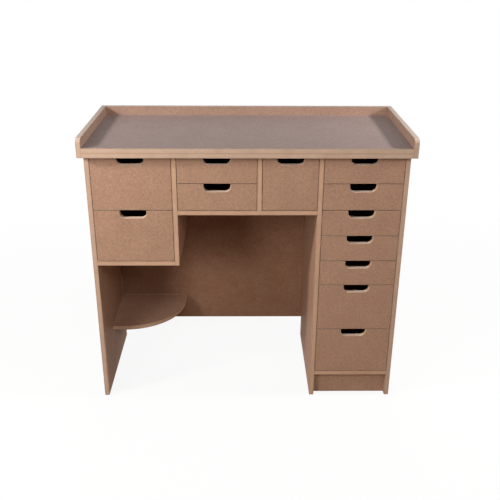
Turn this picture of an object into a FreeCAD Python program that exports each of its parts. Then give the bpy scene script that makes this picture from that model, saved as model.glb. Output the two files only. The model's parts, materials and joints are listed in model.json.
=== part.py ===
import FreeCAD, Part
import os
import re
import Sketcher
from FreeCAD import Placement, Rotation, Vector

# Jeweller's bench in MDF: a worktop of two boards with a rail on three sides, on a carcass with a
# knee space, a corner shelf and twelve inset drawers that run on strips in their grooved sides.
# The carcass boards sit in stopped housings and rebates, and the worktop and its rails on dowels.
# Frame: millimetres, +Z up, front towards -Y, origin on the floor under the middle of the outline.

DRIVING_SIZES = (
    ("board", 18, "thickness of the carcass boards and drawer fronts"),
    ("top_layer", 18, "thickness of each of the two worktop boards"),
    ("rail_board", 18, "thickness of the rails round the worktop"),
    ("left_bay", 300, "inside width of the left drawer bay"),
    ("centre_bay", 300, "inside width of the centre drawer bay"),
    ("tall_bay", 210, "inside width of the tall drawer's bay"),
    ("pedestal_bay", 300, "inside width of the pedestal"),
    ("carcass_depth", 500, "front to back of the side panels"),
    ("carcass_height", 1046, "floor to the underside of the worktop"),
    ("overhang", 30, "worktop in front of the carcass"),
    ("rail_rise", 36, "rails above the worktop"),
    ("rail_radius", 18, "rounding of the side rails' front top corners"),
    ("plinth_height", 100, "floor to the underside of the pedestal floor"),
    ("plinth_recess", 25, "plinth behind the carcass front"),
    ("back_clearance", 110, "floor to the lower edge of the back panel"),
    ("shelf_top", 230, "floor to the top of the corner shelf"),
    ("shelf_reach", 300, "corner shelf along each wall"),
    ("shelf_flat", 50, "straight end of each free edge of the corner shelf"),
    ("shallow_front", 102, "height of a shallow drawer front"),
    ("row_gap", 3, "gap above and below each drawer front"),
    ("side_gap", 2, "gap beside each drawer front and drawer side"),
    ("notch_width", 100, "finger notch across the front"),
    ("notch_depth", 30, "finger notch below the top of the front"),
    ("notch_radius", 20, "rounding of the finger notch's lower corners"),
    ("drawer_back_gap", 32, "closed drawer to the back panel"),
    ("drawer_side", 12, "thickness of the drawer sides and backs"),
    ("front_lap", 10, "depth that the sides lap into the front"),
    ("side_lift", 5, "lower edge of the sides above that of the front"),
    ("side_drop", 12, "top of the sides below that of the front"),
    ("bottom_board", 6, "thickness of the drawer bottoms"),
    ("bottom_lift", 8, "drawer bottom above the lower edge of the sides"),
    ("bottom_groove", 5, "depth of the grooves that hold the drawer bottom"),
    ("bottom_play", 0.2, "clearance of the drawer bottom in its grooves"),
    ("runner_board", 8, "thickness of a runner strip"),
    ("runner_height", 16, "height of a runner strip"),
    ("runner_back_gap", 22, "runner strip to the back panel"),
    ("runner_setback", 0.5, "runner strip behind the closed drawer front"),
    ("runner_nose", 5, "rounding of a runner strip's front corners"),
    ("runner_lift", 34, "runner groove above the lower edge of the sides"),
    ("runner_slack", 0.5, "runner strip short of the floor of its groove"),
    ("slide_seat", 0.2, "runner strip below the top of its groove"),
    ("slide_play", 0.8, "runner strip above the lower face of its groove"),
    ("dowel_diameter", 8, "diameter of the dowels"),
    ("dowel_length", 40, "length of the dowels"),
    ("dowel_in_face", 12, "dowel in the face of the first board"),
    ("dowel_play", 0.1, "clearance round a dowel"),
    ("panel_dowel_inset", 60, "dowels in the uprights from their front and the back panel"),
    ("rail_dowel_inset", 150, "first and last dowel of a rail from the worktop's edge"),
    ("housing", 6, "depth that the carcass boards sit in one another"),
    ("housing_stop", 12, "start of a housing behind the front edge, out of sight"),
    ("housing_play", 0.1, "clearance round a board in its housing"),
)

# Each plane by the axis along its normal, with the sign of that normal and the axes that lie in it.
PLANES = {"X": ("YZ_Plane", 1, "YZ"), "Y": ("XZ_Plane", -1, "XZ"), "Z": ("XY_Plane", 1, "XY")}
AXES = {"X": Vector(1, 0, 0), "Y": Vector(0, 1, 0), "Z": Vector(0, 0, 1)}

doc = FreeCAD.newDocument("JewellersBench")
sheet = doc.addObject("Spreadsheet::Sheet", "Sizes")
for row, (alias, value, note) in enumerate(DRIVING_SIZES, start=1):
    sheet.set(f"A{row}", note)
    sheet.set(f"B{row}", str(value))
    sheet.setAlias(f"B{row}", alias)
doc.recompute()


# ---- sizes as expressions of the sheet ----------------------------------------------------------

def from_sheet(size):
    """The size with each alias turned into a reference to its cell."""
    return re.sub(r"[a-z_]+", lambda word: f"Sizes.{word.group()}", size)


def value_of(size):
    return float(sheet.evalExpression(from_sheet(size)))


def bind(thing, name, size):
    thing.setExpression(name, from_sheet(size))


def total(*sizes):
    return "(" + " + ".join(sizes) + ")"


def less(size, *taken):
    return "(" + " - ".join((size,) + taken) + ")"


def from_corner(size, corner):
    """A place in the bench's frame, measured from a corner."""
    if corner == "0":
        return size
    return "0" if size == corner else less(size, corner)


def half(size):
    return f"({size} / 2)"


def negative(size):
    return f"(-{size})"


# ---- sketches -----------------------------------------------------------------------------------

def sketch_on(body, normal, offset):
    """A sketch square to the normal axis, offset along that axis from the body's own origin."""
    role, side, in_plane = PLANES[normal]
    sketch = body.newObject("Sketcher::SketchObject", f"{body.Name}_sketch")
    plane = next(feature for feature in body.Origin.OriginFeatures if feature.Role == role)
    sketch.AttachmentSupport = [(plane, "")]
    sketch.MapMode = "FlatFace"
    bind(sketch, "AttachmentOffset.Base.z", offset if side > 0 else negative(offset))
    return sketch


def constrain(sketch, kind, *geometry, size):
    index = sketch.addConstraint(Sketcher.Constraint(kind, *geometry, value_of(size)))
    sketch.renameConstraint(index, f"size_{index}")
    bind(sketch, f"Constraints.size_{index}", size)


def hold(sketch, kind, geometry, point, size):
    """Keeps a point at its distance from the sketch's origin, or on the axis where that is nothing."""
    if size == "0":
        axis = -2 if kind == "DistanceX" else -1
        sketch.addConstraint(Sketcher.Constraint("PointOnObject", geometry, point, axis))
    else:
        constrain(sketch, kind, -1, 1, geometry, point, size=size)


def draw_outline(sketch, corners):
    """A closed outline of level and upright lines in turn, from (u, v) or (u, v, radius) corners."""
    points = [Vector(value_of(corner[0]), value_of(corner[1]), 0) for corner in corners]
    radii = [value_of(corner[2]) if len(corner) > 2 else 0 for corner in corners]
    after = [(i + 1) % len(corners) for i in range(len(corners))]
    ways = [(points[after[i]] - points[i]).normalize() for i in range(len(corners))]
    lines = []
    for i, (u, v, *radius) in enumerate(corners):
        start = points[i] + ways[i] * radii[i]
        end = points[after[i]] - ways[i] * radii[after[i]]
        line = sketch.addGeometry(Part.LineSegment(start, end), False)
        upright_line = i % 2 == 1
        sketch.addConstraint(Sketcher.Constraint("Vertical" if upright_line else "Horizontal", line))
        hold(sketch, "DistanceX" if upright_line else "DistanceY", line, 1, u if upright_line else v)
        lines.append(line)
    for i, point in enumerate(points):
        before = lines[i - 1]
        if not radii[i]:
            sketch.addConstraint(Sketcher.Constraint("Coincident", before, 2, lines[i], 1))
            continue
        arc_start = point - ways[i - 1] * radii[i]
        arc_end = point + ways[i] * radii[i]
        centre = arc_start + ways[i] * radii[i]
        arc_middle = centre + (point - centre).normalize() * radii[i]
        arc = sketch.addGeometry(Part.Arc(arc_start, arc_middle, arc_end), False)
        turns_left = ways[i - 1].cross(ways[i]).z > 0
        first, last = (1, 2) if turns_left else (2, 1)
        sketch.addConstraint(Sketcher.Constraint("Tangent", before, 2, arc, first))
        sketch.addConstraint(Sketcher.Constraint("Tangent", arc, last, lines[i], 1))
        constrain(sketch, "Radius", arc, size=corners[i][2])


def draw_circles(sketch, centres, diameter):
    for u, v in centres:
        centre = Vector(value_of(u), value_of(v), 0)
        circle = sketch.addGeometry(Part.Circle(centre, AXES["Z"], value_of(diameter) / 2), False)
        hold(sketch, "DistanceX", circle, 3, u)
        hold(sketch, "DistanceY", circle, 3, v)
        constrain(sketch, "Diameter", circle, size=diameter)


def rectangle(low, high):
    return [low, (high[0], low[1]), high, (low[0], high[1])]


# ---- boards -------------------------------------------------------------------------------------

class Board:
    """A board as a body of its own: an outline padded to its thickness from its low corner."""

    def __init__(self, label, normal, corner, spread, thickness, outline=None):
        self.body = doc.addObject("PartDesign::Body", label)
        self.body.Label = label
        self.normal = normal
        self.corner = dict(zip("XYZ", corner))
        self.reach = dict(zip(PLANES[normal][2], spread))
        self.reach[normal] = thickness
        sketch = sketch_on(self.body, normal, "0")
        draw_outline(sketch, outline or rectangle(("0", "0"), spread))
        pad = self.body.newObject("PartDesign::Pad", f"{label}_pad")
        pad.Profile = sketch
        pad.Reversed = PLANES[normal][1] < 0
        bind(pad, "Length", thickness)
        for axis, at in self.corner.items():
            bind(self.body, f"Placement.Base.{axis.lower()}", at)

    def sketch(self, axis, high_face):
        return sketch_on(self.body, axis, self.reach[axis] if high_face else "0")

    def pocket(self, sketch, axis, high_face, depth):
        """Cuts a sketch on the low or the high face into the board."""
        cut = self.body.newObject("PartDesign::Pocket", f"{self.body.Name}_pocket")
        cut.Profile = sketch
        cut.Reversed = high_face == (PLANES[axis][1] < 0)
        bind(cut, "Length", depth)

    def groove(self, high_face, low, high, depth):
        """A rectangular groove or rebate in a broad face."""
        sketch = self.sketch(self.normal, high_face)
        draw_outline(sketch, rectangle(low, high))
        self.pocket(sketch, self.normal, high_face, depth)

    def house(self, high_face, low, high):
        """A housing for another board, in a broad face, between two corners in the bench's frame."""
        own_low, own_high = self.own(self.normal, [low, high])
        self.groove(high_face, own_low, own_high, total("housing", "housing_play"))

    def own(self, axis, points):
        """Points of the bench's frame, in the plane square to the axis, from the board's corner."""
        first, second = (self.corner[name] for name in PLANES[axis][2])
        return [(from_corner(u, first), from_corner(v, second)) for u, v in points]

    def bore(self, axis, high_face, points, diameter, depth):
        sketch = self.sketch(axis, high_face)
        draw_circles(sketch, self.own(axis, points), diameter)
        self.pocket(sketch, axis, high_face, depth)


def group(label, members):
    compound = doc.addObject("Part::Compound", label)
    compound.Label = label
    compound.Links = members


# ---- layout: every place follows from the driving sizes ------------------------------------------

def stacked(fronts):
    """Height inside a bay with these drawer fronts, with a gap above and below each."""
    return total(*fronts, f"{len(fronts) + 1} * row_gap")


# The pedestal's deep fronts share the height that the shallow ones and the gaps leave.
shallow_rows = 5
deep_rows = 2
tall_front = total("2 * shallow_front", "row_gap")
pedestal_height = less("carcass_height", "plinth_height", "board")
shallow_height = stacked(["shallow_front"] * shallow_rows)
deep_front = f"({less(pedestal_height, shallow_height)} / {deep_rows} - row_gap)"
pedestal_fronts = ["shallow_front"] * shallow_rows + [deep_front] * deep_rows
carcass_width = total("left_bay", "centre_bay", "tall_bay", "pedestal_bay", "5 * board")
worktop_depth = total("carcass_depth", "overhang")
inner_depth = less("carcass_depth", "board")

front_plane = half(less("overhang", "carcass_depth", "rail_board"))
rear_plane = total(front_plane, "carcass_depth")
back_face = total(front_plane, inner_depth)
worktop_front = less(front_plane, "overhang")
plinth_face = total(front_plane, "plinth_recess")

left_side_at = negative(half(carcass_width))
left_bay_at = total(left_side_at, "board")
divider_at = total(left_bay_at, "left_bay")
centre_bay_at = total(divider_at, "board")
centre_divider_at = total(centre_bay_at, "centre_bay")
tall_bay_at = total(centre_divider_at, "board")
inner_side_at = total(tall_bay_at, "tall_bay")
pedestal_bay_at = total(inner_side_at, "board")
right_side_at = total(pedestal_bay_at, "pedestal_bay")
right_end = total(right_side_at, "board")

left_floor_top = less("carcass_height", stacked([tall_front] * 2))
left_floor_under = less(left_floor_top, "board")
centre_floor_top = less("carcass_height", stacked(["shallow_front"] * 2))
centre_floor_under = less(centre_floor_top, "board")
shelf_under = less("shelf_top", "board")
top_seam = total("carcass_height", "top_layer")


# ---- carcass ------------------------------------------------------------------------------------

def upright(label, at, under, depth):
    return Board(label, "X", (at, front_plane, under), (depth, less("carcass_height", under)), "board")


def level(label, at, under, width):
    """A board between two uprights, with its ends in their housings but for the front edge."""
    right = total("housing", width)
    spread = (total(right, "housing"), inner_depth)
    outline = [
        ("housing", "0"),
        (right, "0"),
        (right, "housing_stop"),
        (spread[0], "housing_stop"),
        spread,
        ("0", inner_depth),
        ("0", "housing_stop"),
        ("housing", "housing_stop"),
    ]
    return Board(label, "Z", (less(at, "housing"), front_plane, under), spread, "board", outline)


def facing(label, at, face, under, width, height):
    """A board between two uprights that faces the front, with its whole ends in their housings."""
    spread = (total(width, "2 * housing"), height)
    return Board(label, "Y", (less(at, "housing"), face, under), spread, "board")


def house_level(support, high_face, under):
    low = (total(front_plane, less("housing_stop", "housing_play")), less(under, "housing_play"))
    high = (back_face, total(under, "board", "housing_play"))
    support.house(high_face, low, high)


def house_back(support, high_face, under):
    low = (less(back_face, "housing_play"), less(under, "housing_play"))
    support.house(high_face, low, (rear_plane, "carcass_height"))


def house_plinth(support, high_face):
    low = (less(plinth_face, "housing_play"), "0")
    high = (total(plinth_face, "board", "housing_play"), "plinth_height")
    support.house(high_face, low, high)


left_side = upright("left_side_panel", left_side_at, "0", "carcass_depth")
divider = upright("left_bay_divider", divider_at, left_floor_under, inner_depth)
inner_side = upright("pedestal_inner_panel", inner_side_at, "0", "carcass_depth")
right_side = upright("right_side_panel", right_side_at, "0", "carcass_depth")

level("left_bay_floor", left_bay_at, left_floor_under, "left_bay")
house_level(left_side, True, left_floor_under)
house_level(divider, False, left_floor_under)

centre_floor_width = less(inner_side_at, centre_bay_at)
centre_floor = level("centre_bay_floor", centre_bay_at, centre_floor_under, centre_floor_width)
house_level(divider, True, centre_floor_under)
house_level(inner_side, False, centre_floor_under)

level("pedestal_floor", pedestal_bay_at, "plinth_height", "pedestal_bay")
house_level(inner_side, True, "plinth_height")
house_level(right_side, False, "plinth_height")

facing("plinth", pedestal_bay_at, plinth_face, "0", "pedestal_bay", "plinth_height")
house_plinth(inner_side, True)
house_plinth(right_side, False)

back_height = less("carcass_height", "back_clearance")
back_width = less(inner_side_at, left_bay_at)
back = facing("back_panel", left_bay_at, back_face, "back_clearance", back_width, back_height)
house_back(left_side, True, "back_clearance")
house_back(inner_side, False, "back_clearance")

pedestal_back_height = less("carcass_height", "plinth_height")
pedestal_back_place = (pedestal_bay_at, back_face, "plinth_height")
facing("pedestal_back_panel", *pedestal_back_place, "pedestal_bay", pedestal_back_height)
house_back(inner_side, True, "plinth_height")
house_back(right_side, False, "plinth_height")

# The centre divider's foot sits in the floor below it, behind the front edge.
divider_corner = (centre_divider_at, front_plane, less(centre_floor_top, "housing"))
divider_spread = (inner_depth, total(less("carcass_height", centre_floor_top), "housing"))
divider_outline = [
    ("housing_stop", "0"),
    (inner_depth, "0"),
    divider_spread,
    ("0", divider_spread[1]),
    ("0", "housing"),
    ("housing_stop", "housing"),
]
Board("centre_divider", "X", divider_corner, divider_spread, "board", divider_outline)
foot_low = (less(centre_divider_at, "housing_play"), total(front_plane, less("housing_stop", "housing_play")))
foot_high = (total(centre_divider_at, "board", "housing_play"), back_face)
centre_floor.house(True, foot_low, foot_high)

# The corner shelf sits in the left side and in the back, both housings stopped at its free ends.
shelf_front = less(back_face, "shelf_reach")
shelf_right = total("housing", "shelf_reach")
shelf_back = total("shelf_reach", "housing")
shelf_stop = less(shelf_right, "housing_stop")
shelf_outline = [
    ("housing", "0"),
    (shelf_right, "0", less("shelf_reach", "shelf_flat")),
    (shelf_right, "shelf_reach"),
    (shelf_stop, "shelf_reach"),
    (shelf_stop, shelf_back),
    ("0", shelf_back),
    ("0", "housing_stop"),
    ("housing", "housing_stop"),
]
shelf_corner = (less(left_bay_at, "housing"), shelf_front, shelf_under)
Board("corner_shelf", "Z", shelf_corner, (shelf_right, shelf_back), "board", shelf_outline)
shelf_low = less(shelf_under, "housing_play")
shelf_high = total("shelf_top", "housing_play")
shelf_wall_start = total(shelf_front, less("housing_stop", "housing_play"))
left_side.house(True, (shelf_wall_start, shelf_low), (back_face, shelf_high))
shelf_back_end = total(shelf_corner[0], shelf_stop, "housing_play")
back.house(False, (shelf_corner[0], shelf_low), (shelf_back_end, shelf_high))


# ---- worktop ------------------------------------------------------------------------------------

worktop_spread = (carcass_width, worktop_depth)
lower_corner = (left_side_at, worktop_front, "carcass_height")
lower_top = Board("worktop_lower_board", "Z", lower_corner, worktop_spread, "top_layer")
upper_corner = (left_side_at, worktop_front, top_seam)
Board("worktop_upper_board", "Z", upper_corner, worktop_spread, "top_layer")

rail_height = total("2 * top_layer", "rail_rise")
side_rail_spread = (total(worktop_depth, "rail_board"), rail_height)
side_rail_outline = rectangle(("0", "0"), side_rail_spread)
side_rail_outline[3] = ("0", rail_height, "rail_radius")


def side_rail(label, at):
    corner = (at, worktop_front, "carcass_height")
    return Board(label, "X", corner, side_rail_spread, "rail_board", side_rail_outline)


left_rail = side_rail("left_rail", less(left_side_at, "rail_board"))
right_rail = side_rail("right_rail", right_end)
back_rail_corner = (left_side_at, rear_plane, "carcass_height")
back_rail = Board("back_rail", "Y", back_rail_corner, (carcass_width, rail_height), "rail_board")


# ---- drawers ------------------------------------------------------------------------------------

drawer_length = less(inner_depth, "drawer_back_gap")
side_length = total(less(drawer_length, "board"), "front_lap")
bottom_slot = total("bottom_board", "bottom_play")
bottom_held = less("bottom_groove", "bottom_play")
runner_slot = total("runner_height", "slide_seat", "slide_play")
runner_depth = total(less("runner_board", "side_gap"), "runner_slack")
runner_length = less(inner_depth, "board", "runner_setback", "runner_back_gap")


def drawer_front(name, corner, width, height):
    """Front with its finger notch, rebated behind for the sides and grooved for the bottom."""
    notch_left = half(less(width, "notch_width"))
    notch_right = total(notch_left, "notch_width")
    notch_floor = less(height, "notch_depth")
    outline = [
        ("0", "0"),
        (width, "0"),
        (width, height),
        (notch_right, height),
        (notch_right, notch_floor, "notch_radius"),
        (notch_left, notch_floor, "notch_radius"),
        (notch_left, height),
        ("0", height),
    ]
    front = Board(f"{name}_front", "Y", corner, (width, height), "board", outline)
    front.groove(True, ("0", "0"), ("drawer_side", height), "front_lap")
    front.groove(True, (less(width, "drawer_side"), "0"), (width, height), "front_lap")
    slot_floor = total("side_lift", "bottom_lift")
    slot_ends = ("drawer_side", less(width, "drawer_side"))
    slot_low = (slot_ends[0], slot_floor)
    slot_high = (slot_ends[1], total(slot_floor, bottom_slot))
    front.groove(True, slot_low, slot_high, "bottom_groove")


def drawer_wall(label, at, corner, height, outer_face_high):
    """Side with the runner's groove in its outer face and the bottom's groove in its inner one."""
    front_end = total(corner[1], less("board", "front_lap"))
    wall_corner = (at, front_end, total(corner[2], "side_lift"))
    wall = Board(label, "X", wall_corner, (side_length, height), "drawer_side")
    runner_top = total("runner_lift", runner_slot)
    wall.groove(outer_face_high, ("0", "runner_lift"), (side_length, runner_top), runner_depth)
    bottom_top = total("bottom_lift", bottom_slot)
    wall.groove(not outer_face_high, ("0", "bottom_lift"), (side_length, bottom_top), "bottom_groove")
    return wall.body


def drawer_box(name, corner, width, height):
    """Two grooved sides, and a back between them that stands on the drawer bottom."""
    wall_height = less(height, "side_lift", "side_drop")
    right_at = total(corner[0], less(width, "drawer_side"))
    left_wall = drawer_wall(f"{name}_left_side", corner[0], corner, wall_height, False)
    right_wall = drawer_wall(f"{name}_right_side", right_at, corner, wall_height, True)
    back_lift = total("bottom_lift", "bottom_board")
    back_corner = (
        total(corner[0], "drawer_side"),
        total(corner[1], less(drawer_length, "drawer_side")),
        total(corner[2], "side_lift", back_lift),
    )
    back_spread = (less(width, "2 * drawer_side"), less(wall_height, back_lift))
    back_wall = Board(f"{name}_back", "Y", back_corner, back_spread, "drawer_side")
    group(f"{name}_box", [left_wall, right_wall, back_wall.body])


def drawer_bottom(name, corner, width):
    """Thin board slid in from behind, in grooves on three sides."""
    inset = less("drawer_side", bottom_held)
    front_edge = less("board", bottom_held)
    bottom_corner = (
        total(corner[0], inset),
        total(corner[1], front_edge),
        total(corner[2], "side_lift", "bottom_lift"),
    )
    spread = (less(width, f"2 * {inset}"), less(drawer_length, front_edge))
    Board(f"{name}_bottom", "Z", bottom_corner, spread, "bottom_board")


def runner_pair(name, bay_at, bay_width, corner):
    """Strips on both walls of the bay that carry a drawer by the tops of its grooves."""
    front_end = total(corner[1], "board", "runner_setback")
    under = total(corner[2], "side_lift", "runner_lift", "slide_play")
    spread = (runner_length, "runner_height")
    outline = rectangle(("0", "0", "runner_nose"), spread)
    outline[1] = (runner_length, "0")
    outline[3] = ("0", "runner_height", "runner_nose")
    strips = []
    for hand, at in (("left", bay_at), ("right", total(bay_at, less(bay_width, "runner_board")))):
        strip = Board(f"{name}_{hand}_runner", "X", (at, front_end, under), spread, "runner_board", outline)
        strips.append(strip.body)
    return strips


def drawer_bay(bay, bay_at, bay_width, drawers):
    """Drawers from the top of a bay downwards, each with front, box and bottom, and their runners."""
    width = less(bay_width, "2 * side_gap")
    top = "carcass_height"
    runners = []
    for name, height in drawers:
        under = less(top, "row_gap", height)
        corner = (total(bay_at, "side_gap"), front_plane, under)
        drawer_front(name, corner, width, height)
        drawer_box(name, corner, width, height)
        drawer_bottom(name, corner, width)
        runners += runner_pair(name, bay_at, bay_width, corner)
        top = under
    group(f"{bay}_runners", runners)


left_drawers = [(f"left_{row}_drawer", tall_front) for row in ("upper", "lower")]
centre_drawers = [(f"centre_{row}_drawer", "shallow_front") for row in ("upper", "lower")]
pedestal_drawers = [(f"pedestal_drawer_{i}", front) for i, front in enumerate(pedestal_fronts, start=1)]
drawer_bay("left_bay", left_bay_at, "left_bay", left_drawers)
drawer_bay("centre_bay", centre_bay_at, "centre_bay", centre_drawers)
drawer_bay("tall_bay", tall_bay_at, "tall_bay", [("tall_drawer", tall_front)])
drawer_bay("pedestal", pedestal_bay_at, "pedestal_bay", pedestal_drawers)


# ---- dowels -------------------------------------------------------------------------------------

def dowelled(faced, edged, axis, forward, points):
    """Blind dowels from the face of one board into the edge of another, at each point of the joint."""
    bore = total("dowel_diameter", "2 * dowel_play")
    faced.bore(axis, forward, points, bore, total("dowel_in_face", "dowel_play"))
    edge_depth = total(less("dowel_length", "dowel_in_face"), "dowel_play")
    edged.bore(axis, not forward, points, bore, edge_depth)
    joint = total(faced.corner[axis], faced.reach[axis]) if forward else faced.corner[axis]
    end = less(joint, "dowel_in_face") if forward else total(joint, "dowel_in_face")
    way = AXES[axis] * (1 if forward else -1)
    dowels = []
    for point in points:
        dowel = doc.addObject("Part::Cylinder", f"{faced.body.Name}_dowel")
        bind(dowel, "Radius", half("dowel_diameter"))
        bind(dowel, "Height", "dowel_length")
        dowel.Placement = Placement(Vector(), Rotation(AXES["Z"], way))
        bind(dowel, f"Placement.Base.{axis.lower()}", end)
        for name, at in zip(PLANES[axis][2].lower(), point):
            bind(dowel, f"Placement.Base.{name}", at)
        dowels.append(dowel)
    return dowels


def middle(low, thickness="board"):
    return total(low, half(thickness))


panel_dowels_at = (total(front_plane, "panel_dowel_inset"), less(back_face, "panel_dowel_inset"))
worktop_dowels = []
for support in (left_side, inner_side, right_side):
    points = [(middle(support.corner["X"]), at) for at in panel_dowels_at]
    worktop_dowels += dowelled(lower_top, support, "Z", False, points)
group("worktop_dowels", worktop_dowels)

dowel_line = middle("carcass_height", "top_layer")
side_ends = (total(worktop_front, "rail_dowel_inset"), less(rear_plane, "rail_dowel_inset"))
side_points = [(at, dowel_line) for at in side_ends]
back_end = less(right_end, "rail_dowel_inset")
back_points = [(at, dowel_line) for at in (negative(back_end), "0", back_end)]
rail_dowels = dowelled(left_rail, lower_top, "X", True, side_points)
rail_dowels += dowelled(right_rail, lower_top, "X", False, side_points)
rail_dowels += dowelled(back_rail, lower_top, "Y", False, back_points)
group("rail_dowels", rail_dowels)
doc.recompute()


# ---- checks and files ---------------------------------------------------------------------------

for thing in doc.Objects:
    if "Invalid" in thing.State or "Error" in thing.State:
        raise RuntimeError(f"{thing.Label} did not build: {thing.State}")
    if thing.TypeId in ("PartDesign::Pocket", "PartDesign::Hole"):
        if thing.Shape.Volume >= thing.BaseFeature.Shape.Volume:
            raise RuntimeError(f"{thing.Label} cuts nothing")

grouped = {member for thing in doc.Objects if thing.TypeId == "Part::Compound" for member in thing.Links}
pieces = [thing for thing in doc.Objects if thing.TypeId in ("PartDesign::Body", "Part::Compound")]
nodes = [piece for piece in pieces if piece not in grouped]

os.makedirs("parts", exist_ok=True)
for node in nodes:
    if node.Shape.isNull() or not node.Shape.isValid():
        raise RuntimeError(f"{node.Label} has no valid shape")
    node.Shape.exportStep(os.path.join("parts", f"{node.Label}.step"))
print(len(nodes), "nodes and", sum(len(node.Shape.Solids) for node in nodes), "solids written")
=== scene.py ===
import json
from math import atan, degrees, radians

import bmesh
import bpy
from mathutils import Matrix, Vector, noise


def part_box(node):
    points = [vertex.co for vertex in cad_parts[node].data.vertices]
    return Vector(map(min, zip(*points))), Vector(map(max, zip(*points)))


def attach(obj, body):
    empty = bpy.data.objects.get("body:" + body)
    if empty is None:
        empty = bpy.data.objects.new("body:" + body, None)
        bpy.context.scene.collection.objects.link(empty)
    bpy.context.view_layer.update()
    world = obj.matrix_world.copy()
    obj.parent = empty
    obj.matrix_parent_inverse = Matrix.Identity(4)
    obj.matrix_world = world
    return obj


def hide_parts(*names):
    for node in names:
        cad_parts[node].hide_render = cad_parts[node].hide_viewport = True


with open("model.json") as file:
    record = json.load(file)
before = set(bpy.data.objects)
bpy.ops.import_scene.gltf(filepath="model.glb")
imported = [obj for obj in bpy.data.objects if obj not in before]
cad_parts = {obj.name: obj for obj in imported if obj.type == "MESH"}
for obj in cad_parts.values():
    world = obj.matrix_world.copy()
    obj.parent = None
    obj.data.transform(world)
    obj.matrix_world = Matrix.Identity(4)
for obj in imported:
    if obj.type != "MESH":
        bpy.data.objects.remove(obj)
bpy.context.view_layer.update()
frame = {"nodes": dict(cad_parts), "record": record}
scene = bpy.context.scene
scene.view_settings.view_transform = "Standard"
print("frame loaded:", len(frame["nodes"]), "nodes")


def linearColour(hexColour):
    channels = [int(hexColour[i:i + 2], 16) / 255 for i in (1, 3, 5)]
    return [c / 12.92 if c <= 0.04045 else ((c + 0.055) / 1.055) ** 2.4 for c in channels] + [1.0]


# inputs go by socket name or number, and a node given as a value is linked by its first output in use
def addNode(tree, kind, inputs=(), **settings):
    node = tree.nodes.new("ShaderNode" + kind)
    for name, value in settings.items():
        setattr(node, name, value)
    for socket, value in dict(inputs).items():
        if isinstance(value, bpy.types.Node):
            value = next(output for output in value.outputs if output.enabled)
        if isinstance(value, bpy.types.NodeSocket):
            tree.links.new(value, node.inputs[socket])
        else:
            node.inputs[socket].default_value = value
    return node


def newMaterial(name):
    material = bpy.data.materials.new(name)
    material.use_nodes = True
    material.node_tree.nodes.clear()
    return material, material.node_tree


# camera, standing a little left of the middle and looking down on the worktop
camera = {
    "location": (-0.02246, -2.75157, 1.77820),
    "pitchDown": 23.812,  # degrees, as the next two
    "turnRight": 0.739,
    "roll": 0.286,
    "lens": 51.07,  # mm
    "sensor": 36,
}
cameraData = bpy.data.cameras.new("camera")
cameraData.lens = camera["lens"]
cameraData.sensor_width = camera["sensor"]
cameraObject = bpy.data.objects.new("camera", cameraData)
turned = Matrix.Rotation(radians(-camera["turnRight"]), 4, "Z")
pitched = Matrix.Rotation(radians(90 - camera["pitchDown"]), 4, "X")
rolled = Matrix.Rotation(radians(camera["roll"]), 4, "Z")
cameraObject.matrix_world = Matrix.Translation(camera["location"]) @ turned @ pitched @ rolled
scene.collection.objects.link(cameraObject)
scene.camera = cameraObject
fieldOfView = 2 * degrees(atan(camera["sensor"] / 2 / camera["lens"]))
print("camera set, field of view", round(fieldOfView, 1), "degrees")


# soft boxes: place, the point each is aimed at, width and height in metres, power in watts
lamps = {
    "leftBox": {"at": (-2.00, -0.96, 1.96), "aim": (0, 0, 1.0), "size": (0.30, 0.30), "power": 38},
    "rightBox": {"at": (1.90, -0.25, 1.71), "aim": (0, 0, 1.0), "size": (0.16, 0.16), "power": 32},
    "frontLeftBox": {"at": (-2.00, -2.80, 1.80), "aim": (0, 0, 0.6), "size": (0.80, 0.80), "power": 40},
    "frontHighBox": {"at": (0.00, -2.80, 2.60), "aim": (0, 0, 0.6), "size": (0.90, 0.90), "power": 26},
    "frontRightBox": {"at": (2.00, -2.80, 2.60), "aim": (0, 0, 0.6), "size": (0.90, 0.90), "power": 19},
    "rearBox": {"at": (0.00, 3.40, 1.00), "aim": (0, 0, 0.6), "size": (2.20, 1.60), "power": 100},
}
for name, lamp in lamps.items():
    lampData = bpy.data.lights.new(name, "AREA")
    lampData.shape = "RECTANGLE"
    lampData.size, lampData.size_y = lamp["size"]
    lampData.energy = lamp["power"]
    lampObject = bpy.data.objects.new(name, lampData)
    lampObject.location = lamp["at"]
    towards = Vector(lamp["aim"]) - Vector(lamp["at"])
    lampObject.rotation_euler = towards.to_track_quat("-Z", "Y").to_euler()
    lampObject.visible_camera = False
    lampObject.visible_glossy = name != "rearBox"  # it lights the back and leaves no glare on the worktop
    scene.collection.objects.link(lampObject)


# 1 where the lens, a reflection or a glass ray sees the surface, 0 where the surface only lights others
def seenByLens(tree):
    path = addNode(tree, "LightPath").outputs
    either = addNode(tree, "Math", {
        0: path["Is Camera Ray"], 1: path["Is Glossy Ray"],
    }, operation="MAXIMUM")
    return addNode(tree, "Math", {0: either, 1: path["Is Transmission Ray"]}, operation="MAXIMUM")


studio = {
    "fill": 0.005,  # the light that the surroundings give
    "backdrop": 1.0,  # how bright they look
}
world = bpy.data.worlds.new("studio")
world.use_nodes = True
scene.world = world
tree = world.node_tree
tree.nodes.clear()
white = (1, 1, 1, 1)
fill = addNode(tree, "Background", {"Color": white, "Strength": studio["fill"]})
backdrop = addNode(tree, "Background", {"Color": white, "Strength": studio["backdrop"]})
surroundings = addNode(tree, "MixShader", {0: seenByLens(tree), 1: fill, 2: backdrop})
addNode(tree, "OutputWorld", {"Surface": surroundings})

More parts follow.
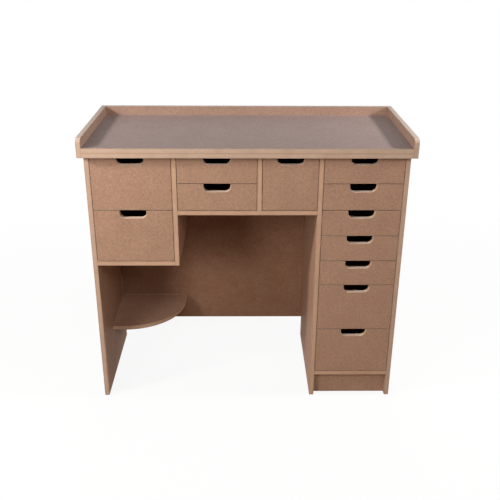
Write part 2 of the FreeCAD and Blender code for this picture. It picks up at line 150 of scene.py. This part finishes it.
# pale floor: white to the lens, apart from a share of its own shading that keeps the bench's shadow
floor = {
    "halfWidth": 14.0,
    "depth": 0.0005,  # below the feet
    "colour": "#F2F1EF",
    "bounce": "#988B7D",  # what it throws back on the bench
    "shadowShare": 0.10,
    "fadeFrom": 0.9,  # the shading fades out between these distances from the middle
    "fadeTo": 2.6,
}
floorMesh = bmesh.new()
bmesh.ops.create_grid(floorMesh, x_segments=1, y_segments=1, size=floor["halfWidth"])
floorData = bpy.data.meshes.new("floor")
floorMesh.to_mesh(floorData)
floorMesh.free()
floorObject = bpy.data.objects.new("floor", floorData)
floorObject.location.z = -floor["depth"]
scene.collection.objects.link(floorObject)
floorMaterial, tree = newMaterial("paleFloor")
seen = seenByLens(tree)
floorColour = addNode(tree, "Mix", {
    0: seen, 6: linearColour(floor["bounce"]), 7: linearColour(floor["colour"]),
}, data_type="RGBA")
matt = addNode(tree, "BsdfDiffuse", {"Color": floorColour})
glow = addNode(tree, "Emission", {"Color": white, "Strength": studio["backdrop"]})
floorPlace = addNode(tree, "TexCoord").outputs["Object"]
away = addNode(tree, "VectorMath", {0: floorPlace}, operation="LENGTH")
whiteShare = addNode(tree, "MapRange", {
    0: away, 1: floor["fadeFrom"], 2: floor["fadeTo"], 3: 1 - floor["shadowShare"], 4: 1.0,
})
seenWhite = addNode(tree, "Math", {0: seen, 1: whiteShare}, operation="MULTIPLY")
floorSurface = addNode(tree, "MixShader", {0: seenWhite, 1: matt, 2: glow})
addNode(tree, "OutputMaterial", {"Surface": floorSurface})
floorData.materials.append(floorMaterial)
print("studio lit:", len(lamps), "soft boxes")


# Medium density fibreboard (MDF): wood fibres and glue pressed into board, sanded, with a thin clear coat.
# The pressed faces are an even warm tan, mottled like felt by short fibres that lie every way. The sawn
# edges are paler and more open, with short dashes where the layers of fibre are cut across, and a darker
# skin at each face. Its arrises are eased and rub paler still.
sandedBoard = {
    "name": "sandedFibreboard",
    "face": "#AF8971",
    "faceCloud": "#AA846D",
    "paleFibre": "#C5A38C",
    "darkFibre": "#936E57",
    "edge": "#C8A084",
    "edgeSkin": "#B58C70",
    # painted light: cut edges that face up are drawn paler, as if lit from above
    "paintedTopLight": "#DEC4AF",  # edges that face up
    "arris": "#CFB09A",
    # painted shade: the dark colour drawn on the drawer fronts' top edges inside the gaps
    "gapShade": "#45332B",
    "gapShadeShare": 0.76,
    "faceRoughness": 0.62,
    "edgeRoughness": 0.78,
    "specular": 0.10,
    "refraction": 1.5,
}
# The rails round the worktop, sealed with it: duller on their faces, and greyer along their top edges, a
# painted sheen from the light above.
railBoard = dict(
    sandedBoard,
    name="sealedRailFibreboard",
    face="#9E7F6E",
    faceCloud="#9A7A69",
    paleFibre="#B49988",
    darkFibre="#856857",
    edge="#C3A58E",
    edgeSkin="#B7967F",
    paintedTopLight="#C2B0A4",
    specular=0.15,
)
# The outer side panels: the rails' seal runs down over their front edges and greys them.
sidePanelBoard = dict(
    sandedBoard,
    name="sidePanelFibreboard",
    edge="#C2A18B",
    edgeSkin="#B18E76",
)
# The worktop's board, sealed twice and rubbed down: smoother on its face, with a satin sheen, and greyer,
# partly a painted sheen. It is drawn paler towards the back and darker and browner towards the front,
# painted light and sheen.
sealedBoard = dict(
    railBoard,
    name="satinSealedFibreboard",
    face="#9C8882",
    faceCloud="#98847E",
    paleFibre="#AB9E98",
    darkFibre="#847068",
    faceRoughness=0.55,
    # painted shade at the worktop's front and painted sheen at its back
    paintedFrontShade=(0.870, 0.850, 0.840, 1.0),  # shares of the colour at the worktop's front and back edges
    paintedBackSheen=(1.18, 1.17, 1.16, 1.0),
)
# The board of the back: duller, and drawn darker and browner than the sealed faces, painted shade for the
# dim space under the worktop that it closes.
shadedBackBoard = dict(
    sandedBoard,
    name="backFibreboardPaintedShade",
    face="#98715A",
    faceCloud="#936B54",
    paleFibre="#AE886E",
    darkFibre="#7F5D47",
    faceRoughness=0.70,
    specular=0.06,
)
# Thin fibreboard for the drawer bottoms: pressed harder, so a little darker and smoother.
thinBoard = dict(
    sandedBoard,
    name="thinFibreboard",
    face="#A37E66",
    faceCloud="#98745D",
    paleFibre="#B8937A",
    faceRoughness=0.50,
)
# Sizes of the pattern in metres. Real fibre bundles are up to 3 mm long and 0.2 mm thick, and are drawn
# three to four times as large to show.
boardPattern = {
    "cloud": 0.070,
    "mottle": 0.0070,
    "fibreLength": 0.0080,
    "fibreWidth": 0.0008,
    "fibreTurns": ((20, 35, 10), (75, -25, 80), (-50, 60, 140)),  # degrees, three ways for fibres to lie
    "bendSize": 0.012,  # how far apart the bends are, and how far they throw the fibres
    "bendThrow": 0.006,
    "dashLength": 0.0060,  # cut fibres on the edges
    "dashWidth": 0.0009,
    "pore": 0.0012,
    "wearSize": 0.030,
    "seedSpread": 40.0,
    "wearPolish": 0.14,  # taken off the roughness of a rubbed arris
    "feltBump": {"Strength": 0.30, "Distance": 0.0002},
    "dashBump": {"Strength": 0.45, "Distance": 0.0003},
}
# How strongly each pattern shows, by the inputs of its MapRange node: 1 and 2 are the values that come in,
# mostly levels of a noise, and 3 and 4 are what goes out at them.
boardShades = {
    "cloud": {1: 0.35, 2: 0.68},
    "mottle": {1: 0.35, 2: 0.65, 3: 0.87, 4: 1.13},
    "paleFibre": {1: 0.53, 2: 0.66, 4: 0.8},
    "darkFibre": {1: 0.47, 2: 0.34, 4: 0.8},
    "skin": {1: 0.26, 2: 0.46},  # distance from the middle of the thickness, in thicknesses
    "dash": {1: 0.3, 2: 0.7, 3: 0.93, 4: 1.07},
    "pore": {1: 0.26, 2: 0.40, 3: 0.82, 4: 1.0},
    "edgeCloud": {1: 0.35, 2: 0.65, 3: 0.94, 4: 1.06},
    "paintedTopLight": {1: 0.6, 2: 0.95},  # height of the surface's normal
    "wear": {1: 0.30, 2: 0.62},
    "gapShadeStart": {1: 0.04, 2: 0.12},  # place through the thickness
    "gapShadePatches": {1: 0.35, 2: 0.65, 3: 0.7, 4: 1.1},
    "fibreGloss": {1: 0.4, 2: 0.6, 3: -0.07, 4: 0.07},
}


def boardMaterial(look):
    material, tree = newMaterial(look["name"])
    place = addNode(tree, "TexCoord").outputs["Object"]
    part = addNode(tree, "Attribute", attribute_name="boardPart").outputs
    seed = addNode(tree, "Math", {0: part["Alpha"], 1: boardPattern["seedSpread"]}, operation="MULTIPLY")
    across, cutEdge, arris = addNode(tree, "SeparateColor", {0: part["Color"]}).outputs

    # faint clouds and a finer mottle, from the way the mat of fibres was laid
    cloud = addNode(tree, "TexNoise", {
        "Vector": place, "W": seed, "Scale": 1 / boardPattern["cloud"], "Detail": 4, "Roughness": 0.6,
    }, noise_dimensions="4D")
    cloudShare = addNode(tree, "MapRange", {
        0: cloud, **boardShades["cloud"],
    }, interpolation_type="SMOOTHSTEP")
    base = addNode(tree, "Mix", {
        0: cloudShare, 6: linearColour(look["face"]), 7: linearColour(look["faceCloud"]),
    }, data_type="RGBA")
    mottle = addNode(tree, "TexNoise", {
        "Vector": place, "W": seed, "Scale": 1 / boardPattern["mottle"], "Detail": 3, "Roughness": 0.6,
    }, noise_dimensions="4D")
    mottleShade = addNode(tree, "MapRange", {0: mottle, **boardShades["mottle"]})
    mottled = addNode(tree, "VectorMath", {0: base, 1: mottleShade}, operation="MULTIPLY")

    # fibres that lie three ways, bent by a slow noise so that no direction stands out
    bend = addNode(tree, "TexNoise", {
        "Vector": place, "W": seed, "Scale": 1 / boardPattern["bendSize"], "Detail": 1,
    }, noise_dimensions="4D").outputs["Color"]
    bendFromMiddle = addNode(tree, "VectorMath", {0: bend, 1: (0.5, 0.5, 0.5)}, operation="SUBTRACT")
    bent = addNode(tree, "VectorMath", {
        0: bendFromMiddle, 1: (boardPattern["bendThrow"],) * 3, 2: place,
    }, operation="MULTIPLY_ADD")
    felt = 0.0
    share = 1 / len(boardPattern["fibreTurns"])
    for turn in boardPattern["fibreTurns"]:
        lie = addNode(tree, "Mapping", {
            "Vector": bent,
            "Rotation": [radians(angle) for angle in turn],
            "Scale": (boardPattern["fibreLength"], boardPattern["fibreWidth"], boardPattern["fibreWidth"]),
        }, vector_type="TEXTURE")
        fibre = addNode(tree, "TexNoise", {
            "Vector": lie, "W": seed, "Scale": 1.0, "Detail": 2, "Roughness": 0.5,
        }, noise_dimensions="4D")
        felt = addNode(tree, "Math", {0: fibre, 1: share, 2: felt}, operation="MULTIPLY_ADD")
    paleShare = addNode(tree, "MapRange", {
        0: felt, **boardShades["paleFibre"],
    }, interpolation_type="SMOOTHSTEP")
    darkShare = addNode(tree, "MapRange", {
        0: felt, **boardShades["darkFibre"],
    }, interpolation_type="SMOOTHSTEP")
    paler = addNode(tree, "Mix", {
        0: paleShare, 6: mottled, 7: linearColour(look["paleFibre"]),
    }, data_type="RGBA")
    faceColour = addNode(tree, "Mix", {
        0: darkShare, 6: paler, 7: linearColour(look["darkFibre"]),
    }, data_type="RGBA")

    # painted light and sheen: the worktop's face is drawn paler towards its back edge and darker and
    # browner towards its front
    axes = addNode(tree, "SeparateXYZ", {0: place}).outputs
    if "paintedFrontShade" in look:
        fromFront = addNode(tree, "MapRange", {0: axes[1], 1: worktopLow[1], 2: worktopHigh[1]})
        paintedSheenTint = addNode(tree, "Mix", {
            0: fromFront, 6: look["paintedFrontShade"], 7: look["paintedBackSheen"],
        }, data_type="RGBA")
        faceColour = addNode(tree, "VectorMath", {0: faceColour, 1: paintedSheenTint}, operation="MULTIPLY")

    # on the cut edges one pattern axis runs through the thickness and the other along the edge
    twoAxes = addNode(tree, "Math", {0: axes[0], 1: axes[1]}, operation="ADD")
    along = addNode(tree, "Math", {0: twoAxes, 1: axes[2]}, operation="ADD")
    alongDashes = addNode(tree, "Math", {
        0: along, 1: 1 / boardPattern["dashLength"],
    }, operation="MULTIPLY")
    acrossDashes = addNode(tree, "Math", {
        0: across, 1: boardThickness / boardPattern["dashWidth"],
    }, operation="MULTIPLY")
    dashPlace = addNode(tree, "CombineXYZ", {0: alongDashes, 1: acrossDashes})
    dash = addNode(tree, "TexNoise", {
        "Vector": dashPlace, "W": seed, "Scale": 1.0, "Detail": 3, "Roughness": 0.6,
    }, noise_dimensions="4D")
    fromCore = addNode(tree, "Math", {0: across, 1: 0.5}, operation="SUBTRACT")
    toSkin = addNode(tree, "Math", {0: fromCore}, operation="ABSOLUTE")
    skin = addNode(tree, "MapRange", {0: toSkin, **boardShades["skin"]}, interpolation_type="SMOOTHSTEP")
    layered = addNode(tree, "Mix", {
        0: skin, 6: linearColour(look["edge"]), 7: linearColour(look["edgeSkin"]),
    }, data_type="RGBA")
    dashShade = addNode(tree, "MapRange", {0: dash, **boardShades["dash"]})
    dashed = addNode(tree, "VectorMath", {0: layered, 1: dashShade}, operation="MULTIPLY")
    pore = addNode(tree, "TexNoise", {
        "Vector": place, "W": seed, "Scale": 1 / boardPattern["pore"], "Detail": 1,
    }, noise_dimensions="4D")
    poreShade = addNode(tree, "MapRange", {0: pore, **boardShades["pore"]})
    porous = addNode(tree, "VectorMath", {0: dashed, 1: poreShade}, operation="MULTIPLY")
    edgeShade = addNode(tree, "MapRange", {0: cloud, **boardShades["edgeCloud"]})
    clouded = addNode(tree, "VectorMath", {0: porous, 1: edgeShade}, operation="MULTIPLY")
    # painted light: the cut edges that face up are drawn in a paler colour, as if lit from above with a
    # sheen
    up = addNode(tree, "SeparateXYZ", {0: addNode(tree, "NewGeometry").outputs["Normal"]}).outputs[2]
    topLightShare = addNode(tree, "MapRange", {0: up, **boardShades["paintedTopLight"]}, interpolation_type="SMOOTHSTEP")
    edgeColour = addNode(tree, "Mix", {
        0: topLightShare, 6: clouded, 7: linearColour(look["paintedTopLight"]),
    }, data_type="RGBA")
    boardColour = addNode(tree, "Mix", {0: cutEdge, 6: faceColour, 7: edgeColour}, data_type="RGBA")

    # rubbed paler along the arrises, more in some places than in others
    rub = addNode(tree, "TexNoise", {
        "Vector": place, "W": seed, "Scale": 1 / boardPattern["wearSize"], "Detail": 4, "Roughness": 0.6,
    }, noise_dimensions="4D")
    rubShare = addNode(tree, "MapRange", {0: rub, **boardShades["wear"]}, interpolation_type="SMOOTHSTEP")
    wear = addNode(tree, "Math", {0: rubShare, 1: arris}, operation="MULTIPLY")
    rubbed = addNode(tree, "Mix", {
        0: wear, 6: boardColour, 7: linearColour(look["arris"]),
    }, data_type="RGBA")

    # painted shade: a dark colour on the top edges that lie behind the gap above a drawer, where the gap is
    # in shadow, patchy and fading in behind the front arris
    gapShaded = addNode(tree, "Attribute", attribute_name="paintedGapShade").outputs["Fac"]
    behindFront = addNode(tree, "MapRange", {0: across, **boardShades["gapShadeStart"], 4: look["gapShadeShare"]})
    patchy = addNode(tree, "MapRange", {0: mottle, **boardShades["gapShadePatches"]})
    lying = addNode(tree, "Math", {0: behindFront, 1: patchy}, operation="MULTIPLY")
    gapShade = addNode(tree, "Math", {0: gapShaded, 1: lying}, operation="MULTIPLY")
    colour = addNode(tree, "Mix", {0: gapShade, 6: rubbed, 7: linearColour(look["gapShade"])}, data_type="RGBA")

    # the cut edges are rougher, the fibres make the gloss uneven, and rubbing polishes the arrises
    plainRoughness = addNode(tree, "MapRange", {
        0: cutEdge, 3: look["faceRoughness"], 4: look["edgeRoughness"],
    })
    unevenness = addNode(tree, "MapRange", {0: felt, **boardShades["fibreGloss"]})
    fibreRoughness = addNode(tree, "Math", {0: plainRoughness, 1: unevenness}, operation="ADD")
    roughness = addNode(tree, "Math", {
        0: wear, 1: -boardPattern["wearPolish"], 2: fibreRoughness,
    }, operation="MULTIPLY_ADD")
    feltBump = addNode(tree, "Bump", {**boardPattern["feltBump"], "Height": felt})
    dashHeight = addNode(tree, "Math", {0: dash, 1: cutEdge}, operation="MULTIPLY")
    dashBump = addNode(tree, "Bump", {
        **boardPattern["dashBump"], "Height": dashHeight, "Normal": feltBump,
    })
    shader = addNode(tree, "BsdfPrincipled", {
        "Base Color": colour,
        "Roughness": roughness,
        "Specular IOR Level": look["specular"],
        "IOR": look["refraction"],
        "Normal": dashBump,
    })
    addNode(tree, "OutputMaterial", {"Surface": shader})
    return material


# Beech, planed: pale pinkish tan, straight grain along the strip, with the short dark flecks of its rays.
planedBeech = {
    "name": "planedBeech",
    "early": "#CFAE8C",
    "late": "#B98F6B",
    "ray": "#A0714E",
    "ringWidth": 0.0030,
    "ringLength": 0.120,
    "rayWidth": 0.0006,
    "rayLength": 0.0030,
    "rings": {1: 0.35, 2: 0.65},  # inputs of the MapRange nodes, as for the board
    "rays": {1: 0.62, 2: 0.70},
    "polish": {3: 1.0, 4: 0.75},  # roughness of a face and of an arris, in shares
    "ringGloss": {1: 0.3, 2: 0.7, 3: 0.48, 4: 0.62},
    "bump": {"Strength": 0.4, "Distance": 0.0002},
    "specular": 0.4,
    "refraction": 1.5,
}


def beechMaterial(look):
    material, tree = newMaterial(look["name"])
    place = addNode(tree, "TexCoord").outputs["Object"]
    grainPlace = addNode(tree, "Mapping", {
        "Vector": place, "Scale": (look["ringWidth"], look["ringLength"], look["ringWidth"]),
    }, vector_type="TEXTURE")
    rayPlace = addNode(tree, "Mapping", {
        "Vector": place, "Scale": (look["rayWidth"], look["rayLength"], look["rayWidth"]),
    }, vector_type="TEXTURE")
    grain = addNode(tree, "TexNoise", {"Vector": grainPlace, "Scale": 1.0, "Detail": 4, "Roughness": 0.55})
    rays = addNode(tree, "TexNoise", {"Vector": rayPlace, "Scale": 1.0, "Detail": 2})
    ringShare = addNode(tree, "MapRange", {0: grain, **look["rings"]}, interpolation_type="SMOOTHSTEP")
    rayShare = addNode(tree, "MapRange", {0: rays, **look["rays"]}, interpolation_type="SMOOTHSTEP")
    rings = addNode(tree, "Mix", {
        0: ringShare, 6: linearColour(look["early"]), 7: linearColour(look["late"]),
    }, data_type="RGBA")
    colour = addNode(tree, "Mix", {0: rayShare, 6: rings, 7: linearColour(look["ray"])}, data_type="RGBA")
    part = addNode(tree, "Attribute", attribute_name="boardPart").outputs["Color"]
    arris = addNode(tree, "SeparateColor", {0: part}).outputs[2]
    polish = addNode(tree, "MapRange", {0: arris, **look["polish"]})
    ringRoughness = addNode(tree, "MapRange", {0: grain, **look["ringGloss"]})
    roughness = addNode(tree, "Math", {0: ringRoughness, 1: polish}, operation="MULTIPLY")
    height = addNode(tree, "Math", {0: grain, 1: rayShare}, operation="SUBTRACT")
    bump = addNode(tree, "Bump", {**look["bump"], "Height": height})
    shader = addNode(tree, "BsdfPrincipled", {
        "Base Color": colour,
        "Roughness": roughness,
        "Specular IOR Level": look["specular"],
        "IOR": look["refraction"],
        "Normal": bump,
    })
    addNode(tree, "OutputMaterial", {"Surface": shader})
    return material


# Wood glue, white PVA squeezed out of the joint and dried: a pale, cloudy, slightly glossy bead.
driedGlue = {
    "name": "driedWoodGlue",
    "clear": "#AC8D73",
    "cloudy": "#C8B09A",
    "lump": 0.006,
    "clouds": {1: 0.35, 2: 0.65},  # inputs of the MapRange nodes, as for the board
    "lumpGloss": {3: 0.30, 4: 0.50},
    "bump": {"Strength": 0.5, "Distance": 0.0005},
    "refraction": 1.46,
}


def glueMaterial(look):
    material, tree = newMaterial(look["name"])
    place = addNode(tree, "TexCoord").outputs["Object"]
    lumps = addNode(tree, "TexNoise", {"Vector": place, "Scale": 1 / look["lump"], "Detail": 3})
    share = addNode(tree, "MapRange", {0: lumps, **look["clouds"]}, interpolation_type="SMOOTHSTEP")
    colour = addNode(tree, "Mix", {
        0: share, 6: linearColour(look["clear"]), 7: linearColour(look["cloudy"]),
    }, data_type="RGBA")
    roughness = addNode(tree, "MapRange", {0: lumps, **look["lumpGloss"]})
    bump = addNode(tree, "Bump", {**look["bump"], "Height": lumps})
    shader = addNode(tree, "BsdfPrincipled", {
        "Base Color": colour, "Roughness": roughness, "IOR": look["refraction"], "Normal": bump,
    })
    addNode(tree, "OutputMaterial", {"Surface": shader})
    return material


sideLow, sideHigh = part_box("left_side_panel")
boardThickness = sideHigh[0] - sideLow[0]
worktopLow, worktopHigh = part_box("worktop_upper_board")
looks = {
    "sanded": boardMaterial(sandedBoard),
    "rail": boardMaterial(railBoard),
    "sidePanel": boardMaterial(sidePanelBoard),
    "sealed": boardMaterial(sealedBoard),
    "shadedBack": boardMaterial(shadedBackBoard),
    "thin": boardMaterial(thinBoard),
    "beech": beechMaterial(planedBeech),
    "glue": glueMaterial(driedGlue),
}
print("materials made:", len(looks))


# every board, strip and dowel gets eased arrises, and each finger notch a wider round at the front
easing = {
    "merge": 0.00001,  # corners this close count as one
    "flat": 1,  # degrees up to which neighbouring faces count as one
    "radius": 0.0006,
    "frontRadius": 0.0010,
    "segments": 2,
    "sharperThan": 30,  # degrees between faces
    "shadedSharp": 50,  # degrees from which an edge is shaded hard
    "notchRadius": 0.0022,
    "notchSegments": 4,
    "shortest": 0.0016,  # shorter edges, where a round ends, stay as they are
}


def slotAndLook(node):
    if node == "worktop_upper_board":
        return "worktop_board", "sealed"
    if node.endswith("_bottom"):
        return "thin_board", "thin"
    if node.endswith(("_runners", "_dowels")):
        return "beech", "beech"
    if node.endswith("back_panel"):
        return "board", "shadedBack"
    if node.endswith("_rail") or node == "worktop_lower_board":
        return "board", "rail"
    if node in ("left_side_panel", "right_side_panel"):
        return "board", "sidePanel"
    return "board", "sanded"


# lists of the faces that hang together, in the same order on every run. The three boards of a drawer box
# share their corners, so a box is one island, and most of it is marked as a cut edge below.
def islandsOf(mesh):
    seen = set()
    for first in mesh.faces:
        if first in seen:
            continue
        seen.add(first)
        island = [first]
        for face in island:
            for edge in face.edges:
                for other in edge.link_faces:
                    if other not in seen:
                        seen.add(other)
                        island.append(other)
        yield island


# shares of one turn that spread the seeds evenly over the pieces, and over the islands of one piece
seedSteps = {"piece": 0.618034, "island": 0.381966}
# how squarely a face looks along the island's shortest side: a cut edge is below its value, an arris
# between its two
tilts = {"cutEdge": 0.9, "arris": (0.1, 0.98)}


# red is the place along the island's shortest side, which is a board's thickness, green a cut edge, blue an
# eased arris, alpha the island's own seed
def markParts(mesh, seed):
    layer = mesh.loops.layers.float_color.new("boardPart")
    for number, island in enumerate(islandsOf(mesh)):
        points = [loop.vert.co for face in island for loop in face.loops]
        low = [min(p[k] for p in points) for k in range(3)]
        high = [max(p[k] for p in points) for k in range(3)]
        axis = min(range(3), key=lambda k: high[k] - low[k])
        own = (seed + seedSteps["island"] * number) % 1.0
        for face in island:
            tilt = abs(face.normal[axis])
            cutEdge = float(tilt < tilts["cutEdge"])
            arris = float(tilts["arris"][0] < tilt < tilts["arris"][1])
            for loop in face.loops:
                depth = (loop.vert.co[axis] - low[axis]) / (high[axis] - low[axis])
                loop[layer] = (depth, cutEdge, arris, own)


# the flat of a drawer front's top edge, which is out of the light when the drawer is shut, marked for the
# painted shade of the gap
def markGapShade(mesh, top):
    layer = mesh.loops.layers.float.new("paintedGapShade")
    for face in mesh.faces:
        if face.calc_center_median().z > top - easing["merge"]:
            for loop in face.loops:
                loop[layer] = 1.0


def isSharp(edge):
    limit = radians(easing["sharperThan"])
    return edge.is_manifold and edge.is_convex and edge.calc_face_angle() > limit


# the notch's edges lie in the front's plane but not on its outer rectangle
def notchEdges(mesh, low, high):
    near = easing["merge"]
    found = []
    for edge in mesh.edges:
        middle = (edge.verts[0].co + edge.verts[1].co) / 2
        inPlane = all(vert.co.y < low[1] + near for vert in edge.verts)
        inside = all(low[k] + near < middle[k] < high[k] - near for k in (0, 2))
        if inPlane and inside and isSharp(edge):
            found.append(edge)
    return found


def bevelEdges(mesh, edges, radius, segments):
    bmesh.ops.bevel(
        mesh, geom=edges, offset=radius, offset_type="OFFSET", segments=segments,
        profile=0.5, affect="EDGES", clamp_overlap=True, material=-1,
    )


# the worktop's two boards are glued and sanded flush, so the arrises along their seam stay
def onWorktopSeam(node, edge):
    level = all(abs(vert.co.z - worktopLow[2]) < easing["merge"] for vert in edge.verts)
    return level and node.startswith("worktop_")


def easedPiece(node, body, seed):
    mesh = bmesh.new()
    mesh.from_mesh(frame["nodes"][node].data)
    bmesh.ops.remove_doubles(mesh, verts=mesh.verts, dist=easing["merge"])
    bmesh.ops.dissolve_limit(mesh, angle_limit=radians(easing["flat"]), verts=mesh.verts, edges=mesh.edges)
    low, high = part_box(node)
    if node.endswith("_front"):
        bevelEdges(mesh, notchEdges(mesh, low, high), easing["notchRadius"], easing["notchSegments"])
    sharp = [
        edge for edge in mesh.edges
        if isSharp(edge) and edge.calc_length() > easing["shortest"] and not onWorktopSeam(node, edge)
    ]
    radius = easing["frontRadius"] if node.endswith("_front") else easing["radius"]
    bevelEdges(mesh, sharp, radius, easing["segments"])
    mesh.normal_update()
    for face in mesh.faces:
        face.smooth = True
    for edge in mesh.edges:
        edge.smooth = edge.is_manifold and edge.calc_face_angle() < radians(easing["shadedSharp"])
    markParts(mesh, seed)
    if node.endswith("_front"):
        markGapShade(mesh, high[2])
    slot, look = slotAndLook(node)
    return finishPiece(mesh, node + "_eased", body, slot, looks[look], node)


def finishPiece(mesh, name, body, slot, material, *replaced):
    data = bpy.data.meshes.new(name)
    mesh.to_mesh(data)
    mesh.free()
    piece = bpy.data.objects.new(name, data)
    scene.collection.objects.link(piece)
    data.materials.append(material)
    weighted = piece.modifiers.new("flatFaces", "WEIGHTED_NORMAL")
    weighted.keep_sharp = True
    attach(piece, body)
    if replaced:
        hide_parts(*replaced)
    return piece


bodies = frame["record"]["behaviour"]["bodies"]
pieces = {}
for body, nodes in bodies.items():
    for node in nodes:
        pieces[node] = easedPiece(node, body, seedSteps["piece"] * len(pieces) % 1.0)
    print(body, "eased:", len(nodes), "nodes")

# beads of glue squeezed out where the corner shelf meets the back, and up the corner above it
glueBead = {
    "radius": 0.0013,
    "bury": 0.4,  # how far its middle lies from each board, in radii
    "sides": 8,
    "step": 0.008,
    "lump": 0.020,
    "unevenness": 0.35,  # of the radius, either way
    "shelfEndGap": 0.045,  # the bead stops this far short of the shelf's end
    "upTheCorner": 0.100,
}


def beadPiece(name, start, end):
    run = end - start
    mesh = bmesh.new()
    lay = run.to_track_quat("Z", "Y").to_matrix().to_4x4()
    bmesh.ops.create_cone(
        mesh,
        cap_ends=True,
        segments=glueBead["sides"],
        radius1=glueBead["radius"],
        radius2=glueBead["radius"],
        depth=run.length,
        matrix=Matrix.Translation((start + end) / 2) @ lay,
    )
    direction = run.normalized()
    lengthwise = [edge for edge in mesh.edges if edge.calc_length() > run.length / 2]
    cuts = round(run.length / glueBead["step"])
    bmesh.ops.subdivide_edges(mesh, edges=lengthwise, cuts=cuts, use_grid_fill=True)
    for vert in mesh.verts:
        onAxis = start + direction * (vert.co - start).dot(direction)
        swell = noise.noise(onAxis / glueBead["lump"])
        vert.co = onAxis + (vert.co - onAxis) * (1 + glueBead["unevenness"] * swell)
    for face in mesh.faces:
        face.smooth = True
    markParts(mesh, 0)
    return finishPiece(mesh, name, "bench", "board", looks["glue"])


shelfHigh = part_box("corner_shelf")[1]
aside = glueBead["bury"] * glueBead["radius"]
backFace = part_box("back_panel")[0][1]
corner = Vector((sideHigh[0] + aside, backFace - aside, shelfHigh[2] + aside))
pieces["shelf_glue_bead"] = beadPiece(
    "shelf_glue_bead", corner, Vector((shelfHigh[0] - glueBead["shelfEndGap"], corner.y, corner.z)),
)
pieces["corner_glue_bead"] = beadPiece(
    "corner_glue_bead", corner, corner + Vector((0, 0, glueBead["upTheCorner"])),
)
print("glue beads laid: 2")

triangles = sum(len(polygon.vertices) - 2 for piece in pieces.values() for polygon in piece.data.polygons)
print("triangles:", triangles)
